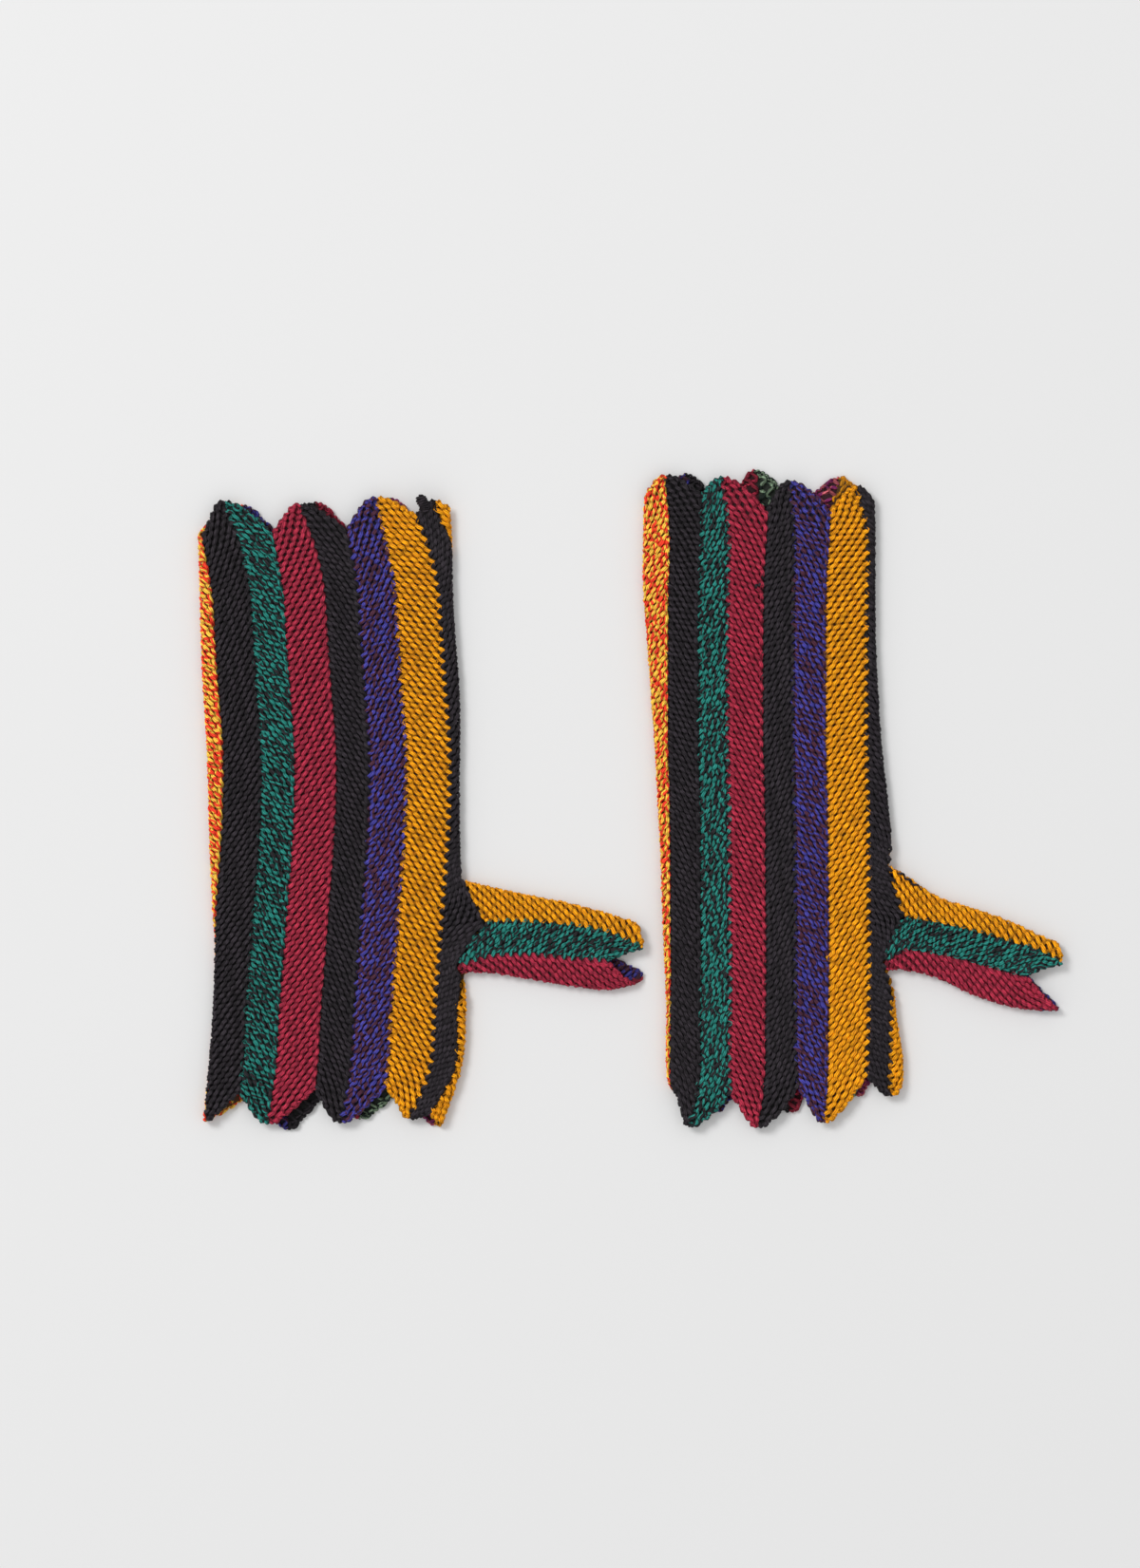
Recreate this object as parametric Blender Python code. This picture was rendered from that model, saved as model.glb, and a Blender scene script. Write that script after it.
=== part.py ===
"""A pair of long knitted fingerless gloves, laid flat side by side.

Each glove is a tube of fourteen stripes, knitted sideways and leaning by turns to the left and to the
right, so that both hems are zigzags. A thumb tube of four shorter stripes leaves a slit between the
black stripe at the thumb side and the mustard one behind it. Every stripe is its own solid, a wall
carried along its glove from named sections, parted from its neighbours by a narrow seam.

Frame: millimetres in the tables, metres in the model. +X points to the thumbs, +Y to the arm openings,
+Z up. The origin lies under the middle of the pair, on the surface that it rests on.
"""

from collections import namedtuple

import bpy
import numpy as np

MM = 0.001

# The cloth. A glove laid flat is two walls that lie on each other, joined by a round fold at each side.
WALL = 2.0
LAYER_GAP = 1.0
THICK = 2 * WALL + LAYER_GAP
FOLD = (THICK - WALL) / 2
SEAM = 0.3
THUMB_SEAM = 0.45

# How a stripe is divided: intervals across it, how many times closer they lie on a fold, and the steps
# along it, as shares of its length.
FLAT_STEPS = 2
FOLD_STEPS = 9
THUMB_FLAT_STEPS = 3
THUMB_FOLD_STEPS = 9
FOLD_DENSITY = 3.0
LENGTH_STEPS = (0, 0.03, 0.07, 0.12, 0.18, 0.25, 0.32, 0.39, 0.46,
                0.53, 0.60, 0.67, 0.74, 0.81, 0.87, 0.92, 0.96, 1)
THUMB_LENGTH_STEPS = (0, 0.12, 0.26, 0.42, 0.58, 0.74, 0.88, 1)
READ_STEPS = 400

# Both ends of the thumb's slit: where its two sides start to part and where they are whole again, the
# extra steps along that stretch and just inside the slit (as shares of half the glove's thickness), how
# far the fold is set back along it, and the depth by which it is.
CROTCH_NEAR = 0.15
CROTCH_FAR = 12.0
TURN_STEPS = 8
SLIT_BEND_STEPS = (0.12, 0.45, 1.0)
SLIT_SET_BACK = 10.5
SET_BACK_DEPTH = 14.0
# The extra steps where that seam passes over the fold, near the arm opening.
CROSSING_STEPS = 9
STATION_GAP = 0.012
ROOT_STEPS = 40
CORNER_CLEARANCE = 1.0

# How far from a hem a seam starts to slide round the tube.
DRIFT_REACH = 26.0

ROUGHNESS = 0.9
SHARP_ANGLE = 40

# One row for each cross-section of the hand tube: its height up the glove, the places of its two folds
# and of the seam between the green and burgundy stripes, and the width of the black thumb-side stripe.
Section = namedtuple("Section", "y left right seam black")
# One row for each seam between two stripes: how far up and down it reaches, and how far it has slid
# round the tube by the time it gets there.
Edge = namedtuple("Edge", "top bottom top_slide bottom_slide")
# One row for each cross-section of the thumb tube: its place, its upper and lower fold, and the two
# seams on its front, mustard to green and green to burgundy.
ThumbSection = namedtuple("ThumbSection", "x upper lower mustard_green green_burgundy")
# One row for each seam of the thumb: where it leaves the hand and where it ends.
ThumbEdge = namedtuple("ThumbEdge", "root tip")
# A corner of a hem that has curled up off the layer below it.
Curl = namedtuple("Curl", "x y height reach")
# Crossing holds the two heights between which the seam at the thumb side passes over the fold.
Glove = namedtuple("Glove", "sections front edges crossing thumb_sections thumb_edges curls")

# The stripes in order round the tube, seen with the thumb at the right: across the front from left to
# right, round the thumb side, and back across the underside to the left fold.
STRIPES = (
    ("front_black_a", "black"),
    ("front_green", "green"),
    ("front_burgundy", "burgundy"),
    ("front_black_b", "black"),
    ("front_purple", "purple"),
    ("front_mustard", "mustard"),
    ("thumbside_black", "black"),
    ("back_mustard", "mustard"),
    ("back_pink", "pink"),
    ("back_sage", "sage"),
    ("back_burgundy", "burgundy"),
    ("back_black", "black"),
    ("back_purple", "purple"),
    ("side_orange", "orange"),
)
THUMB_SIDE = 6
BEHIND_THUMB = 7
LAST_FRONT_EDGE = 6
THUMB_STRIPES = (
    ("thumb_green", "green"),
    ("thumb_burgundy", "burgundy"),
    ("thumb_purple", "purple"),
    ("thumb_mustard", "mustard"),
)
FOLDED = (
    "front_black_a",
    "thumbside_black",
    "back_mustard",
    "side_orange",
    "thumb_burgundy",
    "thumb_mustard",
)

YARNS = {
    "black": (0.022, 0.020, 0.024),
    "green": (0.020, 0.190, 0.130),
    "burgundy": (0.330, 0.022, 0.050),
    "purple": (0.060, 0.045, 0.300),
    "mustard": (0.780, 0.340, 0.012),
    "pink": (0.480, 0.070, 0.130),
    "sage": (0.130, 0.190, 0.120),
    "orange": (0.780, 0.110, 0.035),
}

LEFT = Glove(
    sections=(
        #       y      left   right   seam  black
        Section(115, -164.5, -67.7, -138.2, 4.2),
        Section(100, -163.6, -66.6, -134.8, 8.0),
        Section(80, -162.9, -66.4, -131.0, 9.4),
        Section(60, -162.4, -65.2, -129.6, 11.2),
        Section(40, -161.5, -63.7, -128.2, 13.0),
        Section(20, -160.2, -63.6, -126.7, 14.2),
        Section(0, -159.6, -63.7, -126.7, 14.4),
        Section(-20, -159.1, -63.4, -127.6, 12.0),
        Section(-40, -158.0, -62.6, -129.2, 9.0),
        Section(-60, -157.3, -61.6, -130.7, 8.3),
        Section(-80, -157.9, -61.2, -132.3, 8.3),
        Section(-100, -159.5, -62.6, -133.4, 9.2),
        Section(-120, -161.6, -69.1, -136.1, 6.5),
    ),
    front=(-27.0, -12.6, 0.0, 15.8, 28.4, 42.5, 59.0),
    edges=(
        Edge(97.9, -121.3, 0.0, 2.9),  # orange to black
        Edge(112.3, -110.2, -3.2, 0.0),  # black to green
        Edge(99.7, -122.4, 0.0, 0.0),  # green to burgundy
        Edge(111.2, -109.1, -3.2, 0.0),  # burgundy to black
        Edge(100.8, -122.0, 0.0, -1.0),  # black to purple
        Edge(113.8, -108.4, 0.0, 0.0),  # purple to mustard
        Edge(106.9, -120.2, -3.0, -6.0),  # mustard to black
        Edge(115.2, -118.1, 0.0, 0.0),  # black to mustard, where the thumb is set in
        Edge(100.8, -123.1, 0.0, 0.0),  # mustard to pink
        Edge(113.8, -109.4, 0.0, 0.0),  # pink to sage
        Edge(100.8, -120.6, 0.0, 0.0),  # sage to burgundy
        Edge(112.3, -109.4, 0.0, 0.0),  # burgundy to black
        Edge(100.8, -124.6, 0.0, 0.0),  # black to purple
        Edge(111.2, -110.2, 0.0, 0.0),  # purple to orange
    ),
    crossing=(82, 104),
    thumb_sections=(
        #              x    upper  lower  mustard_green green_burgundy
        ThumbSection(-66.2, -29.2, -66.4, -47.2, -63.4),
        ThumbSection(-54.4, -32.0, -66.0, -46.4, -59.4),
        ThumbSection(-38.2, -35.6, -68.4, -46.1, -58.5),
        ThumbSection(-20.2, -39.2, -71.3, -47.7, -60.1),
        ThumbSection(-7.9, -42.5, -72.4, -50.0, -61.2),
        ThumbSection(4.7, -46.4, -69.8, -55.4, -64.8),
    ),
    thumb_edges=(
        ThumbEdge(-54.4, 4.7),  # mustard to green
        ThumbEdge(-65.5, -8.6),  # green to burgundy
        ThumbEdge(-54.4, 4.7),  # burgundy to purple
        ThumbEdge(-63.7, -7.9),  # purple to mustard
    ),
    curls=(Curl(-78.5, 115.0, 4.5, 7.0),),
)

RIGHT = Glove(
    sections=(
        #       y    left  right  seam  black
        Section(120, 5.4, 93.2, 36.4, 6.5),
        Section(100, 5.0, 93.6, 38.0, 9.5),
        Section(80, 5.0, 93.6, 37.6, 11.2),
        Section(60, 6.5, 93.8, 37.4, 11.2),
        Section(40, 7.9, 94.7, 37.4, 11.2),
        Section(20, 9.4, 96.1, 37.4, 11.2),
        Section(0, 10.4, 98.3, 38.0, 11.2),
        Section(-20, 11.5, 100.1, 38.2, 10.0),
        Section(-40, 12.1, 100.4, 38.3, 8.6),
        Section(-60, 13.0, 100.8, 38.5, 8.4),
        Section(-80, 13.7, 101.5, 38.3, 8.4),
        Section(-100, 13.7, 104.2, 38.2, 8.8),
        Section(-120, 15.8, 103.0, 38.5, 9.0),
    ),
    front=(-22.7, -11.2, 0.0, 13.3, 24.8, 37.1, 52.6),
    edges=(
        Edge(122.0, -105.8, 0.0, 0.0),  # orange to black
        Edge(114.5, -123.5, 2.0, -5.0),  # black to green
        Edge(121.3, -110.5, -1.0, 0.0),  # green to burgundy
        Edge(108.0, -123.8, 1.5, -3.5),  # burgundy to black
        Edge(119.9, -108.0, -0.5, 1.0),  # black to purple
        Edge(108.0, -122.0, 1.5, -2.0),  # purple to mustard
        Edge(118.1, -103.7, -3.0, -1.0),  # mustard to black
        Edge(106.9, -111.6, 0.0, 0.0),  # black to mustard, where the thumb is set in
        Edge(121.7, -99.0, 0.0, 0.0),  # mustard to pink
        Edge(108.0, -112.0, 0.0, 0.0),  # pink to sage
        Edge(124.6, -101.9, 0.0, 0.0),  # sage to burgundy
        Edge(108.7, -118.1, 0.0, 0.0),  # burgundy to black
        Edge(123.1, -105.5, 0.0, 0.0),  # black to purple
        Edge(108.7, -118.1, 0.0, 0.0),  # purple to orange
    ),
    crossing=(98, 106),
    thumb_sections=(
        #             x    upper  lower  mustard_green green_burgundy
        ThumbSection(94.7, -22.0, -64.8, -43.2, -63.0),
        ThumbSection(104.0, -27.7, -65.2, -44.6, -57.2),
        ThumbSection(115.6, -35.6, -67.7, -46.4, -58.0),
        ThumbSection(131.4, -41.0, -74.9, -50.0, -61.9),
        ThumbSection(144.0, -45.4, -78.8, -53.6, -65.5),
        ThumbSection(154.1, -50.0, -80.3, -56.5, -67.7),
        ThumbSection(163.4, -54.0, -80.6, -61.2, -71.3),
    ),
    thumb_edges=(
        ThumbEdge(104.0, 163.4),  # mustard to green
        ThumbEdge(96.1, 149.8),  # green to burgundy
        ThumbEdge(104.0, 162.0),  # burgundy to purple
        ThumbEdge(97.5, 150.0),  # purple to mustard
    ),
    curls=(),
)

PAIR = {"left": LEFT, "right": RIGHT}


def column(rows, name):
    return np.array([getattr(row, name) for row in rows], dtype=float)


def smooth(at, places, values):
    """Values read off a table at the places asked for: a cubic through the rows, with each row's slope
    that of its neighbours, and straight on past both ends."""
    order = np.argsort(places)
    places, values = places[order], values[order]
    slopes = np.gradient(values, places)
    i = np.clip(np.searchsorted(places, at) - 1, 0, len(places) - 2)
    step = places[i + 1] - places[i]
    t = (at - places[i]) / step
    inside = np.clip(t, 0, 1)
    cubic = (
        (1 + 2 * inside) * (1 - inside) ** 2 * values[i]
        + inside * (1 - inside) ** 2 * step * slopes[i]
        + inside**2 * (3 - 2 * inside) * values[i + 1]
        + inside**2 * (inside - 1) * step * slopes[i + 1]
    )
    past = np.where(t < 0, t * step * slopes[0], np.where(t > 1, (t - 1) * step * slopes[-1], 0))
    return cubic + past


def flat_tube(place, low, high):
    """A point and its outward normal on the middle of a wall that runs round a flattened tube between
    the outsides of its two folds, low and high. Place is counted along the wall from the low end of
    the upper layer: along the upper layer, round the high fold, back along the lower layer and round
    the low fold. Returns the position across the tube, its height, and the normal's two parts."""
    start, end = low + THICK / 2, high - THICK / 2
    flat, turn = end - start, np.pi * FOLD
    place = np.mod(place, 2 * (flat + turn))
    upper = place < flat
    high_fold = (place >= flat) & (place < flat + turn)
    lower = (place >= flat + turn) & (place < 2 * flat + turn)
    angle = np.select(
        [upper, high_fold, lower],
        [0 * place, (place - flat) / FOLD, 0 * place + np.pi],
        (place - 2 * flat) / FOLD,
    )
    along = np.select(
        [upper, high_fold, lower],
        [start + place, end + 0 * place, end - (place - flat - turn)],
        start + 0 * place,
    )
    across, up = np.sin(angle), np.cos(angle)
    return along + FOLD * across, THICK / 2 + FOLD * up, across, up


def girth(low, high):
    return 2 * (high - low - THICK) + 2 * np.pi * FOLD


class Hand:
    """The hand tube of one glove, and the seams that run up it."""

    def __init__(self, glove):
        self.glove = glove
        self.rows = glove.sections
        self.thumb = Thumb(glove)
        self.slit_low, self.slit_high = self.thumb.slit()

    def read(self, name, y):
        return smooth(y, column(self.rows, "y"), column(self.rows, name))

    def folds(self, y):
        """The two folds at a height. Along the thumb's slit the right one is set back out of the way,
        because the cloth there runs on flat into the thumb. It is set back by 1 - (1 - t)^2 of the whole,
        where t is the depth in the slit, from 0 at either end to 1."""
        depth = np.minimum(self.slit_high - y, y - self.slit_low) / SET_BACK_DEPTH
        set_back = SLIT_SET_BACK * (1 - (1 - np.clip(depth, 0, 1)) ** 2)
        return self.read("left", y), self.read("right", y) + set_back

    def place(self, x, y):
        """Where a point of the upper layer lies round the tube."""
        return x - self.folds(y)[0] - THICK / 2

    def behind(self, x, y):
        """Where a point of the lower layer lies round the tube."""
        left, right = self.folds(y)
        return (right - left - THICK) + np.pi * FOLD + (right - THICK / 2 - x)

    def slide(self, edge, y):
        """How far a seam has slid round the tube, growing as the square of its nearness to a hem."""
        row = self.glove.edges[edge]
        near_top = np.clip(1 - (row.top - y) / DRIFT_REACH, 0, 1) ** 2
        near_bottom = np.clip(1 - (y - row.bottom) / DRIFT_REACH, 0, 1) ** 2
        return row.top_slide * near_top + row.bottom_slide * near_bottom

    def front_edge(self, edge, y):
        seam = self.place(self.read("seam", y), y)
        return seam + self.glove.front[edge] + self.slide(edge, y)

    def thumb_side_edge(self, y):
        return self.front_edge(LAST_FRONT_EDGE, y) + self.read("black", y)

    def edge(self, edge, y, side):
        """The place round the tube of a seam at the heights y. Side is +1 for the stripe that starts at
        the seam and -1 for the one that ends there, which matters only along the thumb's slit."""
        if edge <= LAST_FRONT_EDGE:
            return self.front_edge(edge, y)
        if edge == BEHIND_THUMB:
            return self.slit_edge(y, side)
        last = len(STRIPES)
        full = girth(self.read("left", y), self.read("right", y))
        first = self.thumb_side_edge(y)
        share = (edge - BEHIND_THUMB) / (last - BEHIND_THUMB)
        lost = girth(*self.folds(y)) - full
        return first + (full + self.front_edge(0, y) - first) * share + lost

    def slit_edge(self, y, side):
        """The seam at the thumb side, which opens along the slit to let the thumb out: the black stripe
        ends on the upper layer at the thumb's root, and the mustard one on the lower layer."""
        whole = self.thumb_side_edge(y)
        beyond = np.maximum(y - self.slit_high, self.slit_low - y)
        closed = np.clip((beyond - CROTCH_NEAR) / (CROTCH_FAR - CROTCH_NEAR), 0, 1)
        x = self.thumb.root_at(y, side)
        left, right = self.folds(y)
        outermost = right - left - THICK + np.pi * FOLD / 2
        if side > 0:
            open_edge = np.maximum(self.behind(x, y), outermost)
        else:
            open_edge = np.minimum(self.place(x, y), outermost)
        gap = THUMB_SEAM - SEAM / 2
        return whole * closed + open_edge * (1 - closed) + side * gap * (1 - closed**3)

    def lift(self, x, y, z):
        """Raises a curled corner of the upper layer, as a soft round bump."""
        for curl in self.glove.curls:
            apart = ((x - curl.x) ** 2 + (y - curl.y) ** 2) / curl.reach**2
            z = z + np.where(z > THICK / 2, curl.height * np.exp(-apart), 0)
        return z

    def stations(self, stripe):
        """The steps up a stripe. The two at the thumb's slit take closer ones along it, and where the
        seam between them passes over the fold."""
        steps = np.array(LENGTH_STEPS, dtype=float)
        if stripe not in (THUMB_SIDE, BEHIND_THUMB):
            return steps
        row = self.glove.edges[BEHIND_THUMB]
        low, high = self.slit_low, self.slit_high
        turn = np.linspace(CROTCH_NEAR, CROTCH_FAR, TURN_STEPS + 1)
        bend = THICK / 2 * np.array(SLIT_BEND_STEPS)
        slit = np.concatenate([low - turn, low + bend, self.thumb.root_corners(), high - bend, high + turn])
        for heights in (slit, np.linspace(*self.glove.crossing, CROSSING_STEPS + 1)):
            closer = (heights - row.bottom) / (row.top - row.bottom)
            clear = (steps < closer.min() - STATION_GAP) | (steps > closer.max() + STATION_GAP)
            steps = np.concatenate([steps[clear], closer])
        return np.sort(steps)

    def stripe(self, stripe, steps_across):
        """The wall of one stripe: its outside and its inside as two grids of points. A line across it
        leans as both of its hems do, from its seam's height on one side to that on the other."""
        first, second = self.glove.edges[stripe], self.glove.edges[(stripe + 1) % len(STRIPES)]
        v = self.stations(stripe)[:, None]
        y_first = first.bottom + v * (first.top - first.bottom)
        y_second = second.bottom + v * (second.top - second.bottom)

        def lines(around):
            y = y_first + around * (y_second - y_first)
            low = self.edge(stripe, y, +1) + SEAM / 2
            high = self.edge(stripe + 1, y, -1) - SEAM / 2
            return y, low + around * (high - low), *self.folds(y)

        y, place, left, right = crowded(lines, steps_across)
        return walls(*flat_tube(place, left, right), along=y, lift=self.lift, turned=False)


def crowded(lines, steps):
    """The lines across a stripe, with their points closer together on its tube's folds. Lines tells, for
    shares of the way across, the height, the place round the tube and the two folds."""
    shares = (np.arange(READ_STEPS) + 0.5)[None, :] / READ_STEPS
    _, place, left, right = lines(shares)
    flat, turn = right - left - THICK, np.pi * FOLD
    place = np.mod(place, 2 * (flat + turn))
    folded = ((place > flat) & (place < flat + turn)) | (place > 2 * flat + turn)
    weight = np.where(folded, FOLD_DENSITY, 1.0)
    total = np.concatenate([np.zeros((len(weight), 1)), np.cumsum(weight, axis=1)], axis=1)
    total /= total[:, -1:]
    ends = np.linspace(0, 1, READ_STEPS + 1)
    wanted = np.linspace(0, 1, steps + 1)
    return lines(np.array([np.interp(wanted, row, ends) for row in total]))


def walls(across, height, out_across, out_up, along, lift, turned):
    """The outside and inside grids of a wall, from its middle and its normal."""
    grids = []
    for side in (+0.5, -0.5):
        a = across + side * WALL * out_across
        z = height + side * WALL * out_up
        x, y = (along, a) if turned else (a, along)
        grids.append(np.stack([x, y, lift(x, y, z)], axis=-1))
    return grids


class Thumb:
    """The thumb tube of one glove, whose sections stand across it at places x along it. Round it the
    place is counted from the upper fold down its front, round the lower fold and up its back."""

    def __init__(self, glove):
        self.rows = glove.thumb_sections
        self.ends = glove.thumb_edges

    def read(self, name, x):
        return smooth(x, column(self.rows, "x"), column(self.rows, name))

    def folds(self, x):
        """The outsides of the upper and lower fold, as distances down from the glove's middle."""
        return -self.read("upper", x), -self.read("lower", x)

    def edge(self, edge, x):
        """The place round the thumb of its seams: two read from the table, the rest shared evenly."""
        upper, lower = self.folds(x)
        first = -self.read("mustard_green", x) - upper - THICK / 2
        second = -self.read("green_burgundy", x) - upper - THICK / 2
        if edge == 0:
            return first
        last = len(THUMB_STRIPES)
        rest = first + girth(upper, lower) - second
        return second + rest * (edge - 1) / (last - 1)

    def stripe(self, stripe, steps_across):
        """The wall of one thumb stripe, from the hand to its slanting end."""
        first, second = self.ends[stripe], self.ends[(stripe + 1) % len(self.ends)]
        v = np.array(THUMB_LENGTH_STEPS)[:, None]

        def lines(around):
            root = first.root + around * (second.root - first.root) + THUMB_SEAM
            tip = first.tip + around * (second.tip - first.tip)
            x = root + v * (tip - root)
            low = self.edge(stripe, x) + SEAM / 2
            high = self.edge(stripe + 1, x) - SEAM / 2
            return x, low + around * (high - low), *self.folds(x)

        x, place, upper, lower = crowded(lines, steps_across)
        down, height, out_down, out_up = flat_tube(place, upper, lower)
        return walls(-down, height, -out_down, out_up, along=x, lift=keep_height, turned=True)

    def root_line(self):
        """Points all round the outside of the thumb's root, as x, y and height."""
        parts = []
        for stripe in range(len(THUMB_STRIPES)):
            first, second = self.ends[stripe], self.ends[(stripe + 1) % len(self.ends)]
            t = np.linspace(0, 1, ROOT_STEPS, endpoint=False)
            x = first.root + t * (second.root - first.root)
            place = self.edge(stripe, x) * (1 - t) + self.edge(stripe + 1, x) * t
            down, height, out_down, out_up = flat_tube(place, *self.folds(x))
            down, height = down + WALL / 2 * out_down, height + WALL / 2 * out_up
            parts.append(np.stack([x, -down, height]))
        return np.concatenate(parts, axis=1)

    def root_corners(self):
        """The heights of the corners of the thumb's root, where its seams leave the hand."""
        y = self.root_line()[1]
        corners = y[::ROOT_STEPS]
        lowest = y.min() + THICK / 2 + CORNER_CLEARANCE
        highest = y.max() - THICK / 2 - CORNER_CLEARANCE
        return corners[(corners > lowest) & (corners < highest)]

    def slit(self):
        """How far down and up the glove the thumb's root reaches."""
        y = self.root_line()[1]
        return y.min(), y.max()

    def root_at(self, y, side):
        """The x of the thumb's root at the heights y, on the upper layer for side -1 and on the lower
        one for side +1."""
        line_x, line_y, line_z = self.root_line()
        chosen = line_z > THICK / 2 if side < 0 else line_z <= THICK / 2
        order = np.argsort(line_y[chosen])
        return np.interp(y, line_y[chosen][order], line_x[chosen][order])


def keep_height(_x, _y, z):
    return z


def closed_wall(name, outside, inside, yarn, collection):
    """A named object from the two grids of a wall: both faces, and a rim round their shared border. The
    rim's faces are split alike on both long sides, so that two stripes' rims twist together."""
    rows, columns = outside.shape[:2]
    index = np.arange(rows * columns).reshape(rows, columns)
    inner = rows * columns
    quads = np.stack([index[:-1, :-1], index[:-1, 1:], index[1:, 1:], index[1:, :-1]], axis=-1)
    quads = quads.reshape(-1, 4)
    rising = np.concatenate([index[0, :], index[1:, -1]])
    falling = np.concatenate([index[-1, ::-1], index[-2::-1, 0]])
    a, b = rising[:-1], rising[1:]
    rim = [np.stack([b, a, b + inner], axis=-1), np.stack([a, a + inner, b + inner], axis=-1)]
    a, b = falling[:-1], falling[1:]
    rim += [np.stack([b, a, a + inner], axis=-1), np.stack([b, a + inner, b + inner], axis=-1)]
    faces = quads.tolist() + (quads[:, ::-1] + inner).tolist() + np.concatenate(rim).tolist()
    points = np.concatenate([outside.reshape(-1, 3), inside.reshape(-1, 3)]) * MM
    mesh = bpy.data.meshes.new(name)
    mesh.from_pydata(points.tolist(), [], faces)
    mesh.materials.append(yarn)
    mesh.shade_smooth()
    mesh.set_sharp_from_angle(angle=np.radians(SHARP_ANGLE))
    collection.objects.link(bpy.data.objects.new(name, mesh))


def yarn_material(name, colour):
    material = bpy.data.materials.new(name)
    material.use_nodes = True
    shader = material.node_tree.nodes["Principled BSDF"]
    shader.inputs["Base Color"].default_value = (*colour, 1)
    shader.inputs["Roughness"].default_value = ROUGHNESS
    shader.inputs["Metallic"].default_value = 0.0
    return material


def main():
    for thing in list(bpy.data.objects):
        bpy.data.objects.remove(thing, do_unlink=True)
    collection = bpy.data.collections.new("fingerless_gloves")
    bpy.context.scene.collection.children.link(collection)
    for side, glove in PAIR.items():
        hand = Hand(glove)
        for number, (part, yarn) in enumerate(STRIPES):
            name = f"{side}_{part}"
            steps = FOLD_STEPS if part in FOLDED else FLAT_STEPS
            outside, inside = hand.stripe(number, steps)
            closed_wall(name, outside, inside, yarn_material(name, YARNS[yarn]), collection)
        for number, (part, yarn) in enumerate(THUMB_STRIPES):
            name = f"{side}_{part}"
            steps = THUMB_FOLD_STEPS if part in FOLDED else THUMB_FLAT_STEPS
            outside, inside = hand.thumb.stripe(number, steps)
            closed_wall(name, outside, inside, yarn_material(name, YARNS[yarn]), collection)


main()
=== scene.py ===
"""A pair of long knitted fingerless gloves, laid flat side by side and dressed stitch by stitch.

Each glove is a tube of fourteen stripes, knitted sideways, with a thumb tube of four. A stripe that
shows has ten courses of yarn and a hidden one has five, and each course is one strand looped between its
neighbours, so the knit that shows is yarn and not a pattern. The yarn follows the stripes' own walls: the
tables and the flattened tube below are those of the part's source, apart from the left glove's black
stripe at its upper corner, and from hidden seams that slide a little near the hems and the thumbs' tips.
The tables are in millimetres, and the meshes are in metres.
"""

from collections import namedtuple

import bpy
import numpy as np
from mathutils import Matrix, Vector

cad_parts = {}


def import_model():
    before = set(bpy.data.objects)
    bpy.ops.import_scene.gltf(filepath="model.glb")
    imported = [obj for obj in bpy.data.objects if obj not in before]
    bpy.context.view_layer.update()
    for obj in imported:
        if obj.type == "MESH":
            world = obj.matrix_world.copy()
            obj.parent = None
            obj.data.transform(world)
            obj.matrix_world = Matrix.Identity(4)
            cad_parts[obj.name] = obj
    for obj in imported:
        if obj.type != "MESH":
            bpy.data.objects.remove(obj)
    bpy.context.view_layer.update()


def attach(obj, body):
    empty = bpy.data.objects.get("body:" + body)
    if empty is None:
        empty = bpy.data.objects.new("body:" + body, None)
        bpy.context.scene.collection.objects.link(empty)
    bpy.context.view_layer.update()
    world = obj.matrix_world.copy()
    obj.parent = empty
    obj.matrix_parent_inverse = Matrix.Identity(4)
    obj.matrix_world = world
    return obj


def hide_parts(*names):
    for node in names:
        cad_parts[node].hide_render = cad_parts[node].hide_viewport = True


MM = 0.001

# The walls of a glove laid flat, as in the part's source: two layers with a gap, round folds at both
# sides, a seam's gap, the crotch over which the slit for the thumb closes, how far the fold is set back
# along the slit, and how near a hem a seam starts to slide.
WALL = 2.0
LAYER_GAP = 1.0
THICK = 2 * WALL + LAYER_GAP
FOLD = (THICK - WALL) / 2
SEAM = 0.3
THUMB_SEAM = 0.45
CROTCH_NEAR = 0.15
CROTCH_FAR = 12.0
SLIT_SET_BACK = 10.5
SET_BACK_DEPTH = 14.0
DRIFT_REACH = 26.0
ROOT_STEPS = 40

# A section of a hand at a height, with its folds, the seam that the others are counted from and the
# black stripe's width; a seam's heights at both hems and how far it slides there; the same for a thumb,
# along x; a raised corner; a crease with its middle, direction in degrees and shape; and a loose yarn
# with the length of its turns and the points it winds round, each with the turns' radius.
Section = namedtuple("Section", "y left right seam black")
Edge = namedtuple("Edge", "top bottom top_slide bottom_slide")
ThumbSection = namedtuple("ThumbSection", "x upper lower mustard_green green_burgundy")
ThumbEdge = namedtuple("ThumbEdge", "root tip")
Curl = namedtuple("Curl", "x y height reach")
Crease = namedtuple("Crease", "x y turn length width height")
Loose = namedtuple("Loose", "stripe pitch points")
Glove = namedtuple("Glove", "sections front edges thumb_sections thumb_edges curls creases loose")

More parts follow.
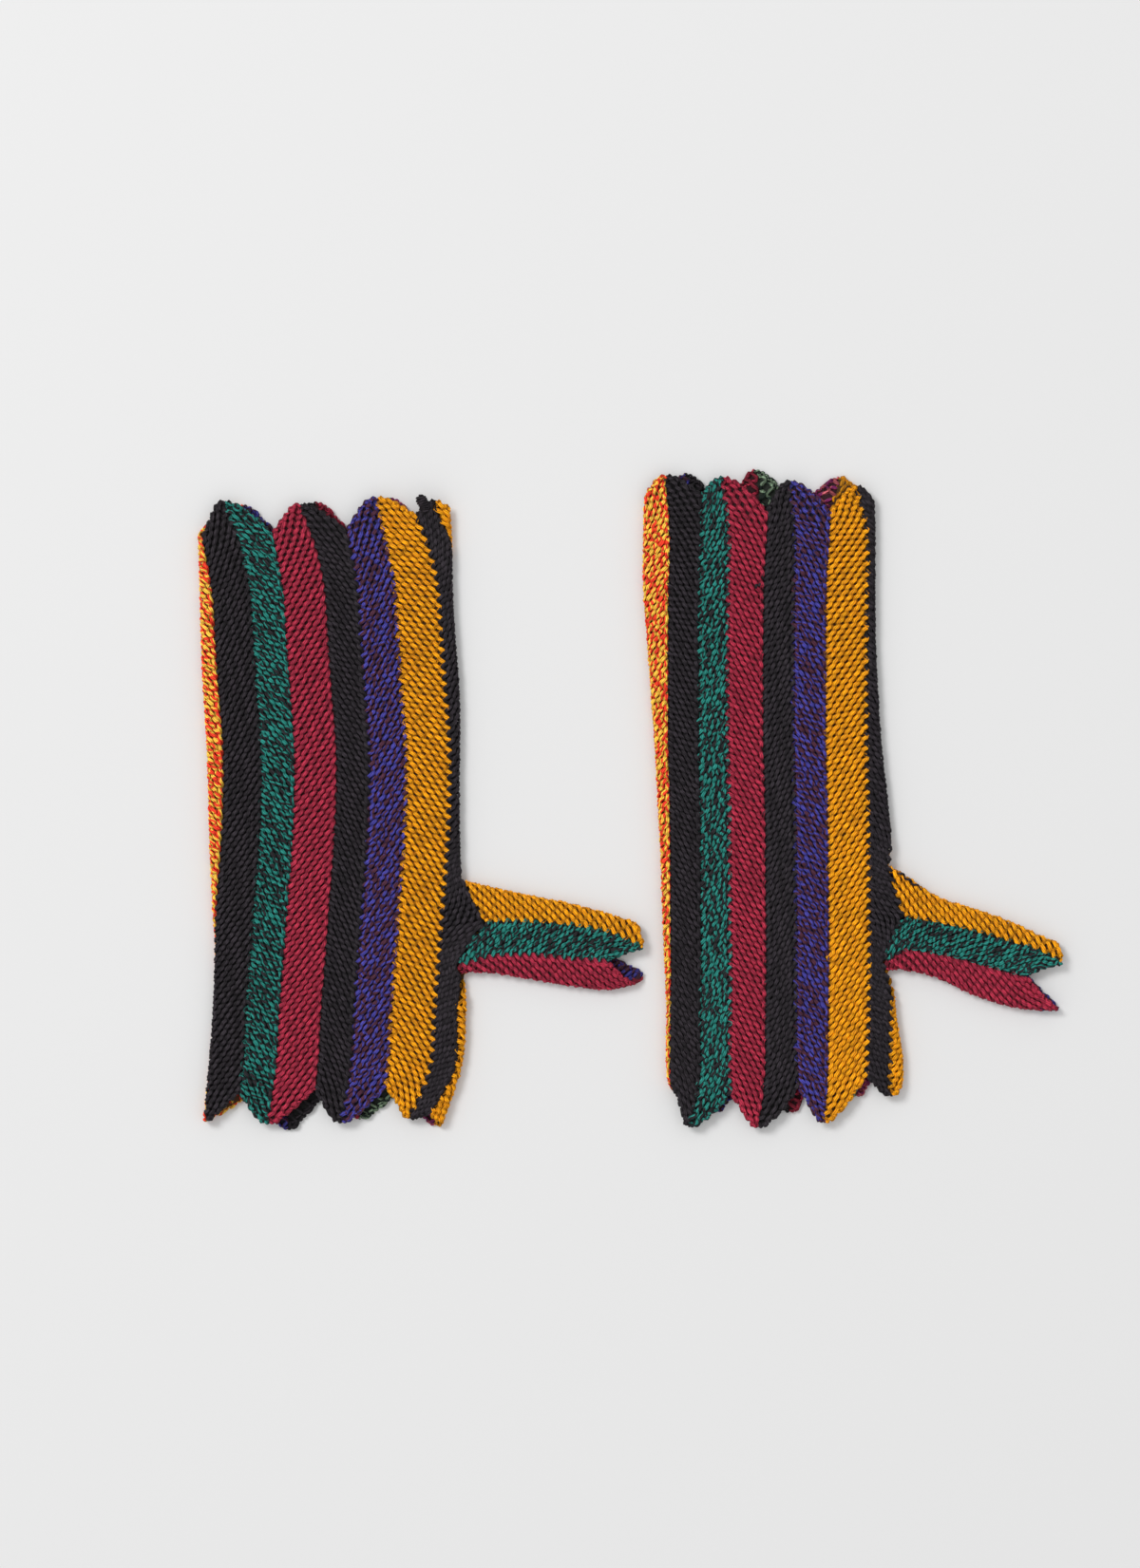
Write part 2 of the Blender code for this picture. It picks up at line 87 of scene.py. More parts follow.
# The stripes in order round the tube, each with its yarn, its courses, and whether its outside shows.
Stripe = namedtuple("Stripe", "name yarn courses shows")
STRIPES = (
    Stripe("front_black_a", "black", 10, True),
    Stripe("front_green", "green", 10, True),
    Stripe("front_burgundy", "burgundy", 10, True),
    Stripe("front_black_b", "black", 10, True),
    Stripe("front_purple", "purple", 10, True),
    Stripe("front_mustard", "mustard", 10, True),
    Stripe("thumbside_black", "black", 10, True),
    Stripe("back_mustard", "mustard", 10, True),
    Stripe("back_pink", "pink", 5, False),
    Stripe("back_sage", "sage", 5, False),
    Stripe("back_burgundy", "burgundy", 5, False),
    Stripe("back_black", "black", 5, False),
    Stripe("back_purple", "purple", 5, False),
    Stripe("side_orange", "orange", 10, True),
)
THUMB_STRIPES = (
    Stripe("thumb_green", "green", 10, True),
    Stripe("thumb_burgundy", "burgundy", 10, True),
    Stripe("thumb_purple", "purple", 10, False),
    Stripe("thumb_mustard", "mustard", 10, True),
)
# The number of the seam behind the thumb, and of the last seam that shows in front.
BEHIND_THUMB = 7
LAST_FRONT_EDGE = 6

LEFT = Glove(
    sections=(
        #        y      left   right    seam  black
        Section(115, -164.5, -67.7, -138.2, 7.6),
        Section(100, -163.6, -66.6, -134.8, 9.0),
        Section(80, -162.9, -66.4, -131.0, 9.6),
        Section(60, -162.4, -65.2, -129.6, 11.2),
        Section(40, -161.5, -63.7, -128.2, 13.0),
        Section(20, -160.2, -63.6, -126.7, 14.2),
        Section(0, -159.6, -63.7, -126.7, 14.4),
        Section(-20, -159.1, -63.4, -127.6, 12.0),
        Section(-40, -158.0, -62.6, -129.2, 9.0),
        Section(-60, -157.3, -61.6, -130.7, 8.3),
        Section(-80, -157.9, -61.2, -132.3, 8.3),
        Section(-100, -159.5, -62.6, -133.4, 9.2),
        Section(-120, -161.6, -69.1, -136.1, 6.5),
    ),
    front=(-27.0, -12.6, 0.0, 15.8, 28.4, 42.5, 59.0),
    edges=(
        Edge(97.9, -121.3, 0.0, 2.9),
        Edge(112.3, -110.2, -3.2, 0.0),
        Edge(99.7, -122.4, 0.0, 0.0),
        Edge(111.2, -109.1, -3.2, 0.0),
        Edge(100.8, -122.0, 0.0, -1.0),
        Edge(113.8, -108.4, 0.0, 0.0),
        Edge(106.9, -120.2, -3.0, -6.0),
        Edge(112.4, -118.1, 0.0, 0.0),
        Edge(100.8, -123.1, 0.0, -4.3),
        Edge(113.8, -109.4, -1.0, -4.0),
        Edge(100.8, -120.6, -1.5, -3.6),
        Edge(112.3, -109.4, -2.0, -5.0),
        Edge(100.8, -124.6, -2.5, -6.1),
        Edge(111.2, -110.2, -3.6, -4.5),
    ),
    thumb_sections=(
        #               x    upper  lower  mustard_green  green_burgundy
        ThumbSection(-66.2, -29.2, -66.4, -47.2, -63.4),
        ThumbSection(-54.4, -32.0, -66.0, -46.4, -59.4),
        ThumbSection(-38.2, -35.6, -68.4, -46.1, -58.5),
        ThumbSection(-20.2, -39.2, -71.3, -47.7, -60.1),
        ThumbSection(-7.9, -42.5, -72.4, -50.0, -61.2),
        ThumbSection(4.7, -46.4, -69.8, -55.4, -64.8),
    ),
    thumb_edges=(
        ThumbEdge(-54.4, 4.7),
        ThumbEdge(-65.5, -8.6),
        ThumbEdge(-54.4, 4.7),
        ThumbEdge(-63.7, -7.9),
    ),
    curls=(Curl(-78.5, 115.0, 4.5, 7.0),),
    creases=(
        #        x      y   turn  long  wide  height
        Crease(-150.0, 62.0, 84, 34.0, 4.5, 0.45),
        Crease(-120.0, 30.0, 95, 52.0, 6.0, -0.50),
        Crease(-92.0, 74.0, 88, 26.0, 4.0, 0.55),
        Crease(-140.0, -48.0, 80, 40.0, 5.0, -0.40),
        Crease(-104.0, -70.0, 76, 30.0, 4.5, 0.50),
        Crease(-76.0, -34.0, 118, 18.0, 4.0, 0.60),
        Crease(-72.0, -54.0, 62, 14.0, 3.5, -0.45),
    ),
    loose=(
        Loose(
            "thumbside_black",
            0.85,
            (
                (-76.8, 109.2, 6.0, 1.1),
                (-77.4, 111.2, 6.6, 1.6),
                (-78.2, 112.8, 7.0, 1.9),
                (-78.7, 114.0, 7.2, 1.7),
                (-78.9, 114.9, 7.2, 0.7),
            ),
        ),
    ),
)

RIGHT = Glove(
    sections=(
        #       y    left  right  seam  black
        Section(120, 5.4, 93.2, 36.4, 6.5),
        Section(100, 5.0, 93.6, 38.0, 9.5),
        Section(80, 5.0, 93.6, 37.6, 11.2),
        Section(60, 6.5, 93.8, 37.4, 11.2),
        Section(40, 7.9, 94.7, 37.4, 11.2),
        Section(20, 9.4, 96.1, 37.4, 11.2),
        Section(0, 10.4, 98.3, 38.0, 11.2),
        Section(-20, 11.5, 100.1, 38.2, 10.0),
        Section(-40, 12.1, 100.4, 38.3, 8.6),
        Section(-60, 13.0, 100.8, 38.5, 8.4),
        Section(-80, 13.7, 101.5, 38.3, 8.4),
        Section(-100, 13.7, 104.2, 38.2, 8.8),
        Section(-120, 15.8, 103.0, 38.5, 9.0),
    ),
    front=(-22.7, -11.2, 0.0, 13.3, 24.8, 37.1, 52.6),
    edges=(
        Edge(122.0, -105.8, 0.0, 0.0),
        Edge(114.5, -123.5, 2.0, -5.0),
        Edge(121.3, -110.5, -1.0, 0.0),
        Edge(108.0, -123.8, 1.5, -3.5),
        Edge(119.9, -108.0, -0.5, 1.0),
        Edge(108.0, -122.0, 1.5, -2.0),
        Edge(118.1, -103.7, -3.0, -1.0),
        Edge(106.9, -111.6, 0.0, 0.0),
        Edge(121.7, -99.0, 0.0, -1.5),
        Edge(108.0, -112.0, 2.5, -5.5),
        Edge(124.6, -101.9, 5.0, -6.2),
        Edge(108.7, -118.1, 4.0, -6.8),
        Edge(123.1, -105.5, 3.2, -5.2),
        Edge(108.7, -118.1, 1.5, -3.6),
    ),
    thumb_sections=(
        #              x   upper  lower  mustard_green  green_burgundy
        ThumbSection(94.7, -22.0, -64.8, -43.2, -63.0),
        ThumbSection(104.0, -27.7, -65.2, -44.6, -57.2),
        ThumbSection(115.6, -35.6, -67.7, -46.4, -58.0),
        ThumbSection(131.4, -41.0, -74.9, -50.0, -61.9),
        ThumbSection(144.0, -45.4, -78.8, -53.6, -65.5),
        ThumbSection(154.1, -50.0, -80.3, -56.5, -67.7),
        ThumbSection(163.4, -54.0, -80.6, -61.2, -71.3),
    ),
    thumb_edges=(
        ThumbEdge(104.0, 163.4),
        ThumbEdge(96.1, 149.8),
        ThumbEdge(104.0, 162.0),
        ThumbEdge(97.5, 150.0),
    ),
    curls=(),
    creases=(
        #       x      y   turn  long  wide  height
        Crease(20.0, 70.0, 92, 30.0, 4.5, 0.45),
        Crease(46.0, 44.0, 86, 46.0, 5.5, -0.45),
        Crease(74.0, 84.0, 94, 24.0, 4.0, 0.50),
        Crease(30.0, -36.0, 97, 36.0, 5.0, -0.50),
        Crease(60.0, -66.0, 83, 44.0, 6.0, 0.55),
        Crease(92.0, -30.0, 62, 20.0, 4.0, 0.60),
        Crease(94.0, -56.0, 120, 15.0, 3.5, -0.40),
    ),
    loose=(
        Loose("front_black_b", 1.6, ((49.6, 81.4, 5.6, 0.35), (48.4, 81.0, 6.2, 0.35), (47.6, 80.0, 5.6, 0.35))),
        Loose(
            "thumbside_black",
            3.4,
            ((102.2, -27.4, 4.6, 0.45), (106.0, -30.6, 4.6, 0.45), (110.6, -33.8, 4.4, 0.45)),
        ),
    ),
)

PAIR = {"left": LEFT, "right": RIGHT}

# The stitches. A course is one yarn that goes to and fro between its neighbours, so many times over the
# length: the reach is how far it stands from its course's middle, in courses, and the rise how far it
# lies in front on its way towards the row above and behind on its way back, in mm. Each course starts
# later than the one before, so that its stitches stand half way between that one's, and the rows of
# stitches tip by so many mm for each mm across.
STITCHES = 54
THUMB_STITCHES = 17
REACH = 0.52
RISE = 0.48
BEAD = 0.06
TIP = 0.10
UNEVEN_REACH = 0.09
UNEVEN_PLACE = 0.03
UNEVEN_HEIGHT = 0.08
HEM_OVERHANG = 0.15
LINK_STEPS = 3
STEPS = (0, 60, 120, 180, 240, 300)
FINE_COURSES = 9

# The first of each tube's seeds for its unevenness, one for each stripe.
SEEDS = {("left", "hand"): 60, ("left", "thumb"): 75, ("right", "hand"): 80, ("right", "thumb"): 95}

# The yarn's section, as places across and out in mm: two plies side by side, and a plain one for the
# stripes of few courses, which lie on the table. No yarn goes lower than the least height.
LEAST_HEIGHT = 0.02
FINE_SECTION = ((0.85, -0.15), (0.50, 0.42), (0.0, 0.16), (-0.50, 0.42), (-0.85, -0.15), (0.0, -0.45))
PLAIN_SECTION = ((0.70, -0.26), (0.0, 0.50), (-0.70, -0.26))

# How far the yarn's plies turn to either side along it, over lengths that never fall in step.
Swell = namedtuple("Swell", "degrees length")
SWELLS = (Swell(16, 4.7), Swell(12, 11.3))

# Seams are scalloped where the loops of two stripes lock: how deep and how far in.
SCALLOP_DEPTH = 0.65
SCALLOP_REACH = 2.6

# The yarn that winds along each hem: its section, its steps across a stripe, and how wide and how long
# its turns are, in mm. Points of a hem are rounded to a radius, a blunt one for the upper layer's points
# at the top and a sharp one for all others, and the rounding fades out over the depth.
HEM_SECTION = ((0.46, 0.0), (0.0, 0.46), (-0.46, 0.0), (0.0, -0.46))
HEM_STEPS = 60
HEM_WINDING = 0.34
HEM_PITCH = 1.9
BLUNT_RADIUS = 9.0
SHARP_RADIUS = 3.5
HEM_DEPTH = 9.0

# A loose yarn's steps in each of its turns, and those of the line it winds round.
LOOSE_STEPS = 10
LINE_STEPS = 200

# Towards a thumb's tip its hidden seams slide round it, so that its back is notched like its front. The
# points of its hem have a radius for each stripe.
TIP_DEPTH = 20.0
TIP_SLIDES = (0.0, 0.0, 5.0, 8.0)
TIP_RADII = (0.8, 1.5, 9.0, 9.0)

# Yarn: the colours of its two plies, how much of the yarn the second takes, how far along it they turn
# once round each other in mm, and how unevenly.
Yarn = namedtuple("Yarn", "first second share turn uneven")
YARNS = {
    "black": Yarn((0.015, 0.012, 0.015), (0.029, 0.023, 0.029), 0.5, 5.0, 1.0),
    "green": Yarn((0.018, 0.215, 0.180), (0.018, 0.017, 0.020), 0.50, 6.0, 3.0),
    "burgundy": Yarn((0.440, 0.026, 0.060), (0.300, 0.018, 0.044), 0.5, 5.0, 1.0),
    "purple": Yarn((0.058, 0.052, 0.320), (0.070, 0.020, 0.040), 0.42, 9.0, 4.0),
    "mustard": Yarn((0.900, 0.370, 0.003), (0.780, 0.290, 0.003), 0.5, 5.0, 1.0),
    "pink": Yarn((0.620, 0.130, 0.160), (0.240, 0.024, 0.130), 0.5, 7.0, 3.0),
    "sage": Yarn((0.260, 0.370, 0.240), (0.020, 0.034, 0.028), 0.5, 7.0, 3.0),
    "orange": Yarn((0.900, 0.050, 0.020), (0.950, 0.560, 0.060), 0.5, 6.0, 3.0),
}

# How the yarn takes the light: the sizes of its noises, as turns in a metre, the plies' waviness, what
# the groove between them and the fibres do, the groove's painted shade, and the painted shade and highlight that
# darken a stitch towards its depth and brighten its front.
DRIFT_SCALE = 170.0
PATCH_SCALE = 240.0
FIBRE_SCALE = 3.0
FIBRE_LENGTH = 0.9
GROOVE_LENGTH = 9.0
GROOVE_DRIFT = 0.6
PLY_BLEND = 0.12
BUMP_DEPTH = 0.0003

# The sheet below the stitches, which stands for their legs and the dark between them, in painted shade:
# its steps over a stripe, how near the hems it goes, how far out from the middle of the wall it lies where
# the outside shows and where only the inside can, and how far the stripe's colour is darkened on it as painted
# shade.
GROUND_ACROSS = 10
GROUND_ALONG = 48
GROUND_THUMB_ALONG = 18
GROUND_HEM = 0.001
GROUND_OUT = -0.60
GROUND_BACK_OUT = 0.35
GROUND_PAINTED_SHADE = 0.08
SPECK_SCALE = 1400.0

# The flat cut of each tube, opened along one seam: how far it is round, how long, and its area in mm.
Cut = namedtuple("Cut", "girth length area")

# The picture: how high a stretch of the table it shows, in mm, where its middle lies, and the camera.
PICTURE_HEIGHT = 594.4
PICTURE_MIDDLE = (-22.3, 5.9)
CAMERA_HEIGHT = 2000.0
SENSOR = 36.0
FAR = 100.0

# The table, just below the gloves, and the light on it, in metres and watts.
TABLE_SIZE = 6.0
TABLE_HEIGHT = -0.0002
TABLE_COLOUR = (0.80, 0.80, 0.80)
SKY_STRENGTH = 0.685
WINDOW_PLACE = (-2.4, 2.0, 3.4)
WINDOW_SIZE = 1.6
WINDOW_WATTS = 100.0


def column(rows, name):
    return np.array([getattr(row, name) for row in rows], dtype=float)


def smooth(at, places, values):
    """Values read off a table at the places asked for: a cubic through the rows, with each row's slope
    that of its neighbours, and straight on past both ends."""
    order = np.argsort(places)
    places, values = places[order], values[order]
    slopes = np.gradient(values, places)
    i = np.clip(np.searchsorted(places, at) - 1, 0, len(places) - 2)
    step = places[i + 1] - places[i]
    t = (at - places[i]) / step
    inside = np.clip(t, 0, 1)
    cubic = (
        (1 + 2 * inside) * (1 - inside) ** 2 * values[i]
        + inside * (1 - inside) ** 2 * step * slopes[i]
        + inside**2 * (3 - 2 * inside) * values[i + 1]
        + inside**2 * (inside - 1) * step * slopes[i + 1]
    )
    past = np.where(t < 0, t * step * slopes[0], np.where(t > 1, (t - 1) * step * slopes[-1], 0))
    return cubic + past


def ease(t):
    """0 up to 0, 1 from 1 on, and between them 3 t squared less 2 t cubed."""
    t = np.clip(t, 0, 1)
    return t * t * (3 - 2 * t)


def flat_tube(place, low, high):
    """A point and its outward normal on the middle of a wall that runs round a flattened tube between
    the outsides of its two folds. Place is counted from the low end of the upper layer: straight along
    it, a half circle round the high fold, straight back underneath and a half circle round the low one.
    Returns the position across the tube, its height, and the normal's two parts."""
    start, end = low + THICK / 2, high - THICK / 2
    flat, turn = end - start, np.pi * FOLD
    place = np.mod(place, 2 * (flat + turn))
    upper = place < flat
    high_fold = (place >= flat) & (place < flat + turn)
    lower = (place >= flat + turn) & (place < 2 * flat + turn)
    angle = np.select(
        [upper, high_fold, lower],
        [0 * place, (place - flat) / FOLD, 0 * place + np.pi],
        (place - 2 * flat) / FOLD,
    )
    along = np.select(
        [upper, high_fold, lower],
        [start + place, end + 0 * place, end - (place - flat - turn)],
        start + 0 * place,
    )
    across, up = np.sin(angle), np.cos(angle)
    return along + FOLD * across, THICK / 2 + FOLD * up, across, up


def rounded(u, climb, width, r):
    """The share of a hem's climb reached at u across a stripe, rounded at its point, the end it climbs
    to: 1 - (sqrt(d^2 + r^2) - r) / (sqrt(w^2 + r^2) - r), d from the point, r the radius."""
    d = (1 - u if climb > 0 else u) * width
    s = (np.hypot(d, r) - r) / (np.hypot(width, r) - r)
    return 1 - s if climb > 0 else s


def scallop(row_low, row_high, at, count):
    """How far a seam stands to one side at places along it: an even wave of so many turns in all."""
    return SCALLOP_DEPTH * np.cos(2 * np.pi * count * (at - row_low) / (row_high - row_low))


def near(u, width):
    """1 at u = 0, going to 0 at the scallops' reach."""
    return ease(1 - u * width / SCALLOP_REACH)


def girth(low, high):
    return 2 * (high - low - THICK) + 2 * np.pi * FOLD


class Hand:
    """The hand tube of one glove, and the seams that run up it."""

    def __init__(self, glove):
        self.glove = glove
        self.rows = glove.sections
        self.thumb = Thumb(glove)
        self.slit_low, self.slit_high = self.thumb.slit()

    def read(self, name, y):
        return smooth(y, column(self.rows, "y"), column(self.rows, name))

    def folds(self, y):
        """The two folds at a height. Along the thumb's slit the right one is set back by 1 - (1 - t)^2 of
        the whole, where t is the depth in the slit, from 0 at either end to 1."""
        depth = np.minimum(self.slit_high - y, y - self.slit_low) / SET_BACK_DEPTH
        set_back = SLIT_SET_BACK * (1 - (1 - np.clip(depth, 0, 1)) ** 2)
        return self.read("left", y), self.read("right", y) + set_back

    def place(self, x, y):
        """Where a point of the upper layer lies round the tube."""
        return x - self.folds(y)[0] - THICK / 2

    def behind(self, x, y):
        """Where a point of the lower layer lies round the tube."""
        left, right = self.folds(y)
        return (right - left - THICK) + np.pi * FOLD + (right - THICK / 2 - x)

    def slide(self, edge, y):
        """How far a seam has slid round the tube, growing as the square of its nearness to a hem."""
        row = self.glove.edges[edge]
        near_top = np.clip(1 - (row.top - y) / DRIFT_REACH, 0, 1) ** 2
        near_bottom = np.clip(1 - (y - row.bottom) / DRIFT_REACH, 0, 1) ** 2
        return row.top_slide * near_top + row.bottom_slide * near_bottom

    def front_edge(self, edge, y):
        seam = self.place(self.read("seam", y), y)
        return seam + self.glove.front[edge] + self.slide(edge, y)

    def thumb_side_edge(self, y):
        return self.front_edge(LAST_FRONT_EDGE, y) + self.read("black", y)

    def edge(self, edge, y, side):
        """The place round the tube of a seam at the heights y. Side is +1 for the stripe that starts at
        the seam and -1 for the one that ends there, which matters only along the thumb's slit."""
        if edge <= LAST_FRONT_EDGE:
            return self.front_edge(edge, y)
        if edge == BEHIND_THUMB:
            return self.slit_edge(y, side)
        last = len(STRIPES)
        full = girth(self.read("left", y), self.read("right", y))
        first = self.thumb_side_edge(y)
        share = (edge - BEHIND_THUMB) / (last - BEHIND_THUMB)
        lost = girth(*self.folds(y)) - full
        slid = self.slide(edge, y) if edge < last else 0
        return first + (full + self.front_edge(0, y) - first) * share + lost + slid

    def slit_edge(self, y, side):
        """The seam at the thumb side, which opens along the slit to let the thumb out: the black stripe
        ends on the upper layer at the thumb's root, and the mustard one on the lower layer."""
        whole = self.thumb_side_edge(y)
        beyond = np.maximum(y - self.slit_high, self.slit_low - y)
        closed = np.clip((beyond - CROTCH_NEAR) / (CROTCH_FAR - CROTCH_NEAR), 0, 1)
        x = self.thumb.root_at(y, side)
        left, right = self.folds(y)
        outermost = right - left - THICK + np.pi * FOLD / 2
        if side > 0:
            open_edge = np.maximum(self.behind(x, y), outermost)
        else:
            open_edge = np.minimum(self.place(x, y), outermost)
        gap = THUMB_SEAM - SEAM / 2
        return whole * closed + open_edge * (1 - closed) + side * gap * (1 - closed**3)

    def lift(self, x, y, z):
        """Raises a curled corner of the upper layer, as a soft round bump, and lays the creases in it:
        each height exp(-(along / length)^2 - (across / width)^2) on its own line."""
        upper = ease((z - WALL / 2) / (THICK - WALL))
        for curl in self.glove.curls:
            apart = ((x - curl.x) ** 2 + (y - curl.y) ** 2) / curl.reach**2
            z = z + np.where(z > THICK / 2, curl.height * np.exp(-apart), 0)
        for crease in self.glove.creases:
            turn = np.radians(crease.turn)
            along = (x - crease.x) * np.cos(turn) + (y - crease.y) * np.sin(turn)
            across = (y - crease.y) * np.cos(turn) - (x - crease.x) * np.sin(turn)
            z = z + upper * crease.height * np.exp(-((along / crease.length) ** 2) - (across / crease.width) ** 2)
        return z

    def rise(self, stripe):
        """+1 if a stripe's rows of stitches climb towards its second seam, and -1 if they fall."""
        first, second = self.glove.edges[stripe], self.glove.edges[(stripe + 1) % len(STRIPES)]
        return 1 if second.top > first.top else -1

    def span(self, stripe):
        """A stripe's width half way up, how far its rows climb across it there, and its length."""
        first, second = self.glove.edges[stripe], self.glove.edges[(stripe + 1) % len(STRIPES)]
        middle = np.array([(first.top + first.bottom) / 2, (second.top + second.bottom) / 2])
        low, high = self.edge(stripe, middle, +1)[0], self.edge(stripe + 1, middle, -1)[1]
        return high - low, abs(middle[1] - middle[0]), first.top - first.bottom

    def cloth(self, stripe, u, v):
        """A point and its normal on the middle of a stripe's wall, u across it and v up it. The height
        goes evenly from the first seam's to the second's, and so does the place round the tube."""
        first, second = self.glove.edges[stripe], self.glove.edges[(stripe + 1) % len(STRIPES)]
        y_first = first.bottom + v * (first.top - first.bottom)
        y_second = second.bottom + v * (second.top - second.bottom)
        length = first.top - first.bottom
        width = self.span(stripe)[0]
        climb = y_second - y_first
        radius = BLUNT_RADIUS if stripe < BEHIND_THUMB else SHARP_RADIUS
        at_top = ease(1 - (1 - v) * length / HEM_DEPTH) * (rounded(u, self.rise(stripe), width, radius) - u)
        at_bottom = ease(1 - v * length / HEM_DEPTH) * (rounded(u, -self.rise(stripe), width, SHARP_RADIUS) - u)
        y = y_first + (u + at_top + at_bottom) * climb
        low, high = self.edge(stripe, y, +1), self.edge(stripe + 1, y, -1)
        wave = near(u, width) * scallop(first.bottom, first.top, y, STITCHES)
        wave = wave + near(1 - u, width) * scallop(second.bottom, second.top, y, STITCHES)
        x, z, out_x, out_z = flat_tube(low + u * (high - low) + wave, *self.folds(y))
        return np.stack([x, y, self.lift(x, y, z)], axis=-1), np.stack([out_x, 0 * y, out_z], axis=-1)


class Thumb:
    """The thumb tube of one glove, whose sections stand across it at places x along it. Round it the
    place is counted from the upper fold down its front, round the lower fold and up its back."""

    def __init__(self, glove):
        self.rows = glove.thumb_sections
        self.ends = glove.thumb_edges

    def read(self, name, x):
        return smooth(x, column(self.rows, "x"), column(self.rows, name))

    def folds(self, x):
        """The outsides of the upper and lower fold, as distances down from the glove's middle."""
        return -self.read("upper", x), -self.read("lower", x)

    def edge(self, edge, x):
        """The place round the thumb of its seams: two read from the table, the rest shared evenly."""
        upper, lower = self.folds(x)
        first = -self.read("mustard_green", x) - upper - THICK / 2
        second = -self.read("green_burgundy", x) - upper - THICK / 2
        if edge == 0:
            return first
        rest = first + girth(upper, lower) - second
        place = second + rest * (edge - 1) / (len(THUMB_STRIPES) - 1)
        near_tip = ease(1 - (self.ends[edge % len(self.ends)].tip - x) / TIP_DEPTH)
        return place - TIP_SLIDES[edge % len(self.ends)] * near_tip

    def rise(self, stripe):
        """+1 if a stripe's rows of stitches lean towards the tip at its second seam, -1 if away."""
        return 1 if self.ends[(stripe + 1) % len(self.ends)].tip > self.ends[stripe].tip else -1

    def span(self, stripe):
        """A stripe's width half way along, how far its rows climb across it there, and its length."""
        first, second = self.ends[stripe], self.ends[(stripe + 1) % len(self.ends)]
        middle = np.array([(first.root + first.tip) / 2, (second.root + second.tip) / 2])
        low, high = self.edge(stripe, middle)[0], self.edge(stripe + 1, middle)[1]
        return high - low, abs(middle[1] - middle[0]), first.tip - first.root

    def cloth(self, stripe, u, v):
        """A point and its normal on the middle of a thumb stripe's wall, u round it and v along it."""
        first, second = self.ends[stripe], self.ends[(stripe + 1) % len(self.ends)]
        root = first.root + u * (second.root - first.root) + THUMB_SEAM
        tip = first.tip + u * (second.tip - first.tip)
        length, width = first.tip - first.root, self.span(stripe)[0]
        round_tip = rounded(u, self.rise(stripe), width, TIP_RADII[stripe])
        at_tip = ease(1 - (1 - v) * length / HEM_DEPTH) * (round_tip - u)
        tip = tip + at_tip * (second.tip - first.tip)
        x = root + v * (tip - root)
        low, high = self.edge(stripe, x), self.edge(stripe + 1, x)
        wave = near(u, width) * scallop(first.root, first.tip, x, THUMB_STITCHES)
        wave = wave + near(1 - u, width) * scallop(second.root, second.tip, x, THUMB_STITCHES)
        down, z, out_down, out_z = flat_tube(low + u * (high - low) + wave, *self.folds(x))
        return np.stack([x, -down, z], axis=-1), np.stack([0 * x, -out_down, out_z], axis=-1)

    def root_line(self):
        """Points all round the outside of the thumb's root, as x, y and height."""
        parts = []
        for stripe in range(len(THUMB_STRIPES)):
            first, second = self.ends[stripe], self.ends[(stripe + 1) % len(self.ends)]
            t = np.linspace(0, 1, ROOT_STEPS, endpoint=False)
            x = first.root + t * (second.root - first.root)
            place = self.edge(stripe, x) * (1 - t) + self.edge(stripe + 1, x) * t
            down, height, out_down, out_up = flat_tube(place, *self.folds(x))
            down, height = down + WALL / 2 * out_down, height + WALL / 2 * out_up
            parts.append(np.stack([x, -down, height]))
        return np.concatenate(parts, axis=1)

    def slit(self):
        """How far down and up the glove the thumb's root reaches."""
        y = self.root_line()[1]
        return y.min(), y.max()

    def root_at(self, y, side):
        """The x of the thumb's root at the heights y, on the upper layer for side -1 and on the lower
        one for side +1."""
        line_x, line_y, line_z = self.root_line()
        chosen = line_z > THICK / 2 if side < 0 else line_z <= THICK / 2
        order = np.argsort(line_y[chosen])
        return np.interp(y, line_y[chosen][order], line_x[chosen][order])


def strand(tube, number, stripe, stitches, chance):
    """The path of a stripe's yarn, all its courses in one strand that turns back at each hem. Along a
    course, turn by turn of the angle a, it stands reach cos a across the stripe, and out of it bead cos 2a
    less rise sin a, or more where the stripe's rows fall. A course's angle is later than the last one's by
    half a turn and the tip, less what the row climbs meanwhile. Returns the path, the cloth's normals and
    how far in front each point is."""
    courses = stripe.courses
    climb, length = tube.span(number)[1:]
    way = tube.rise(number)
    turns = (np.arange(stitches)[:, None] + np.array(STEPS)[None, :] / 360).ravel()
    turns = np.append(turns, stitches)
    knots = np.arange(2 * stitches + 2) / 2
    later = 0.5 + TIP - climb / courses * stitches / length
    pieces_u, pieces_v, pieces_out = [], [], []
    for course in range(courses):
        middle = (course + 0.5) / courses
        uneven = chance.normal(0, 1, (3, len(knots)))
        a = 2 * np.pi * (turns - way * later * course)
        reach = REACH * (1 + UNEVEN_REACH * np.interp(turns, knots, uneven[0]))
        shift = UNEVEN_PLACE * np.interp(turns, knots, uneven[1])
        across = reach * np.cos(a) / courses
        u = middle + across
        v = np.clip((turns + shift) / stitches - way * climb * across / length, 0, 1)
        lift = UNEVEN_HEIGHT * np.interp(turns, knots, uneven[2])
        out = -way * RISE * np.sin(a) + BEAD * np.cos(2 * a) + lift
        if course % 2:
            u, v, out = u[::-1], v[::-1], out[::-1]
        pieces_u.append(u)
        pieces_v.append(v)
        pieces_out.append(np.minimum(out, RISE))
        if course + 1 < courses:
            t = (np.arange(LINK_STEPS) + 1) / (LINK_STEPS + 1)
            end = 0.0 if course % 2 else 1.0
            away = HEM_OVERHANG * np.sin(np.pi * t) / stitches
            pieces_u.append(middle + t / courses)
            pieces_v.append(end + away * (1 if end else -1))
            pieces_out.append(0 * t)
    points, normals = tube.cloth(number, np.concatenate(pieces_u), np.concatenate(pieces_v))
    out = np.concatenate(pieces_out)
    return points + out[:, None] * normals, normals, 0.5 + out / (2 * RISE)


